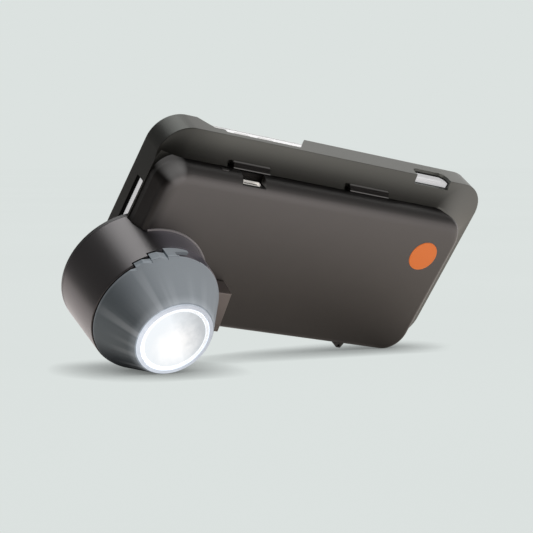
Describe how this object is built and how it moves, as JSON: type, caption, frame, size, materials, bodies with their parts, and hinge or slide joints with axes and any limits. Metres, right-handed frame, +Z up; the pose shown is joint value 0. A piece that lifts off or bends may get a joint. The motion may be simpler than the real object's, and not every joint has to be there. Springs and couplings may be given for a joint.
{
  "type": "phone-mounted dermatoscope",
  "caption": "Hand-held skin-surface microscope: lit contact cone on a round optical head, slim instrument box and phone shell with the phone, lying on cone and corner.",
  "frame": {"origin": "centre of the contact ring at the contact plane, where the optical axis leaves the window", "axes": "Z up with the instrument lying as pictured, on a side line of its cone and a corner of its box; X along the case, level but for the lie's roll; -Y towards the side that the window faces"},
  "size_m": [0.1457, 0.0492, 0.0774],
  "materials": {
    "cone_grey": "fine matte moulded",
    "ring_clear": "clear, edge lit",
    "light_white": "milky light guide",
    "window_glass": "clear, lit from behind",
    "head_black": "black satin coat",
    "alloy": "turned",
    "seal_rubber": "smooth",
    "cover_black": "satin",
    "optic_glass": "polished",
    "screw_steel": "plain",
    "barrel_black": "black anodised",
    "board_green": "solder mask",
    "diode_yellow": "encapsulated",
    "polariser_film": "film",
    "flex_copper": "film",
    "box_grey": "soft-touch coat",
    "base_grey": "moulded",
    "cell_foil": "foil",
    "chip_black": "moulded",
    "socket_steel": "plated",
    "charge_clear": "light guide",
    "badge_orange": "printed",
    "trim_grey": "moulded",
    "clip_grey": "moulded",
    "shell_grey": "soft-touch coat",
    "liner_black": "thin felt",
    "phone_silver": "bead-blasted",
    "phone_black_glass": "polished",
    "panel_black": "dark display",
    "camera_glass": "coated",
    "key_silver": "bead-blasted"
  },
  "bodies": {
    "case": {"head_housing": "head_black", "bayonet_ring": "alloy", "cone_seal": "seal_rubber", "rear_cover": "cover_black", "rear_window": "optic_glass", "head_screws": "screw_steel", "lens_barrel": "barrel_black", "rear_lens": "optic_glass", "lens_spacer": "barrel_black", "front_lens": "optic_glass", "lens_retainer": "barrel_black", "led_board": "board_green", "leds": "diode_yellow", "polariser_ring": "polariser_film", "led_flex": "flex_copper", "box_cover": "box_grey", "box_base": "base_grey", "box_screws": "screw_steel", "battery": "cell_foil", "circuit_board": "board_green", "board_chips": "chip_black", "usb_socket": "socket_steel", "usb_tongue": "chip_black", "charge_light": "charge_clear", "slide_switch": "socket_steel", "badge": "badge_orange", "strap_lug": "trim_grey", "clip_left": "clip_grey", "clip_right": "clip_grey", "phone_shell": "shell_grey", "shell_liner": "liner_black"},
    "contact_head": {"contact_cone": "cone_grey", "contact_ring": "ring_clear", "light_ring": "light_white", "contact_window": "window_glass"},
    "mode_slider_cap": {"mode_slider": "trim_grey"},
    "phone": {"phone_frame": "phone_silver", "phone_glass": "phone_black_glass", "display_panel": "panel_black", "phone_battery": "cell_foil", "phone_camera_ring": "phone_silver", "phone_camera_lens": "camera_glass"},
    "volume_up_key": {"volume_up": "key_silver"},
    "volume_down_key": {"volume_down": "key_silver"},
    "mute_key": {"mute_switch": "key_silver"},
    "power_key": {"power_button": "key_silver"}
  },
  "joints": [
    {"name": "cone_twist", "type": "hinge", "parent": "case", "child": "contact_head", "pos_m": [0, 0, 0], "axis": [-0.0821, -0.8583, -0.5065], "range_deg": [-18, 0]},
    {"name": "mode_slide", "type": "slide", "parent": "case", "child": "mode_slider_cap", "axis": [0.1374, -0.5131, 0.8473], "range_m": [0, 0.003]},
    {"name": "phone_lift", "type": "slide", "parent": "case", "child": "phone", "axis": [0.0821, 0.8583, 0.5065], "range_m": [0, 0.02]},
    {"name": "volume_up_press", "type": "slide", "parent": "phone", "child": "volume_up_key", "axis": [-0.1374, 0.5131, -0.8473], "range_m": [0, 0.00035], "stiffness_N_per_m": 300},
    {"name": "volume_down_press", "type": "slide", "parent": "phone", "child": "volume_down_key", "axis": [-0.1374, 0.5131, -0.8473], "range_m": [0, 0.00035], "stiffness_N_per_m": 300},
    {"name": "mute_slide", "type": "slide", "parent": "phone", "child": "mute_key", "axis": [0.0821, 0.8583, 0.5065], "range_m": [0, 0.001]},
    {"name": "power_press", "type": "slide", "parent": "phone", "child": "power_key", "axis": [0.9871, 0, -0.1601], "range_m": [0, 0.00035], "stiffness_N_per_m": 300}
  ]
}
